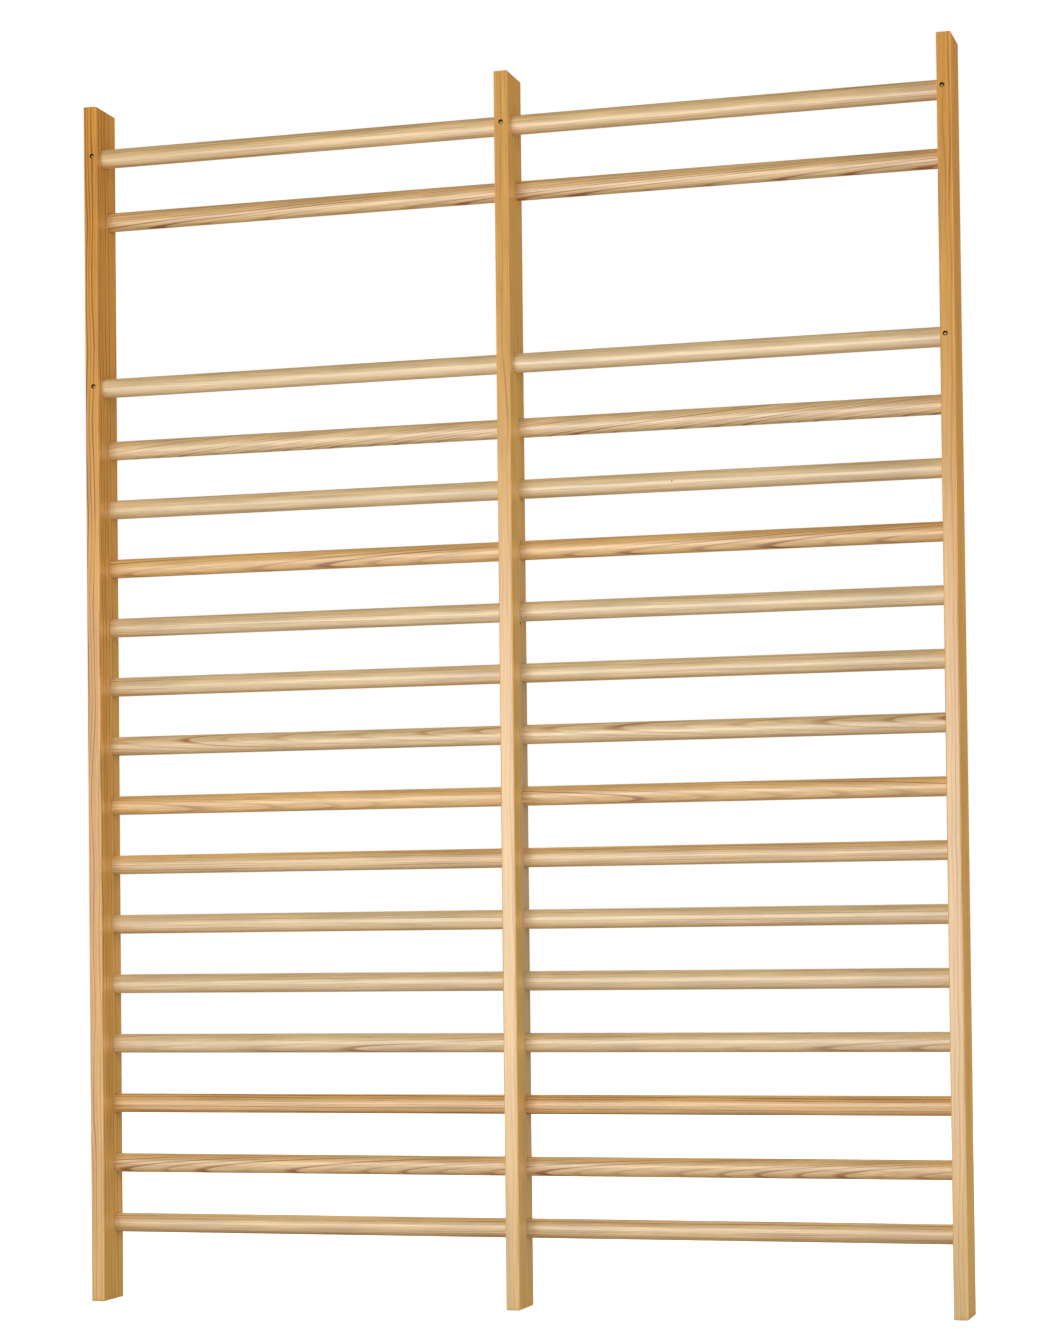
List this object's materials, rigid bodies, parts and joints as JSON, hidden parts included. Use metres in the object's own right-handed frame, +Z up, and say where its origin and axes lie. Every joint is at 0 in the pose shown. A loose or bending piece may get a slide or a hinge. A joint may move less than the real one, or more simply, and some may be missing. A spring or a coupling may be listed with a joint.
{
  "type": "wall bars",
  "caption": "Two-bay gymnastic wall bars: lacquered pine uprights with oval rungs running through them, two of the rungs set forward for hanging.",
  "frame": {"origin": "on the floor, in the middle of the width and of the depth", "axes": "+Z up along the uprights, +X along the rungs to the right as seen from the room, +Y towards the wall"},
  "size_m": [1.9, 0.105, 2.6],
  "materials": {
    "upright_pine": "clear lacquered pine, satin to gloss, golden",
    "rung_pine": "turned pine with clear satin lacquer, pale straw",
    "screw_steel": "bright zinc-plated steel"
  },
  "bodies": {
    "root": {"upright_left": "upright_pine", "upright_middle": "upright_pine", "upright_right": "upright_pine", "rung_01": "rung_pine", "rung_02": "rung_pine", "rung_03": "rung_pine", "rung_04": "rung_pine", "rung_05": "rung_pine", "rung_06": "rung_pine", "rung_07": "rung_pine", "rung_08": "rung_pine", "rung_09": "rung_pine", "rung_10": "rung_pine", "rung_11": "rung_pine", "rung_12": "rung_pine", "rung_13": "rung_pine", "rung_14": "rung_pine", "rung_15": "rung_pine", "rung_16": "rung_pine", "rung_17": "rung_pine", "rear_screw_rung_01_left": "screw_steel", "rear_screw_rung_01_right": "screw_steel", "rear_screw_rung_02_left": "screw_steel", "rear_screw_rung_02_right": "screw_steel", "rear_screw_rung_03_left": "screw_steel", "rear_screw_rung_03_right": "screw_steel", "rear_screw_rung_04_left": "screw_steel", "rear_screw_rung_04_right": "screw_steel", "rear_screw_rung_05_left": "screw_steel", "rear_screw_rung_05_right": "screw_steel", "rear_screw_rung_06_left": "screw_steel", "rear_screw_rung_06_right": "screw_steel", "rear_screw_rung_07_left": "screw_steel", "rear_screw_rung_07_right": "screw_steel", "rear_screw_rung_08_left": "screw_steel", "rear_screw_rung_08_right": "screw_steel", "rear_screw_rung_09_left": "screw_steel", "rear_screw_rung_09_right": "screw_steel", "rear_screw_rung_10_left": "screw_steel", "rear_screw_rung_10_right": "screw_steel", "rear_screw_rung_11_left": "screw_steel", "rear_screw_rung_11_right": "screw_steel", "rear_screw_rung_12_left": "screw_steel", "rear_screw_rung_12_right": "screw_steel", "rear_screw_rung_13_left": "screw_steel", "rear_screw_rung_13_right": "screw_steel", "rear_screw_rung_14_left": "screw_steel", "rear_screw_rung_14_right": "screw_steel", "front_screw_rung_15_left": "screw_steel", "front_screw_rung_15_right": "screw_steel", "rear_screw_rung_16_left": "screw_steel", "rear_screw_rung_16_right": "screw_steel", "front_screw_rung_17_left": "screw_steel", "front_screw_rung_17_right": "screw_steel", "front_screw_rung_17_middle": "screw_steel"}
  },
  "joints": []
}
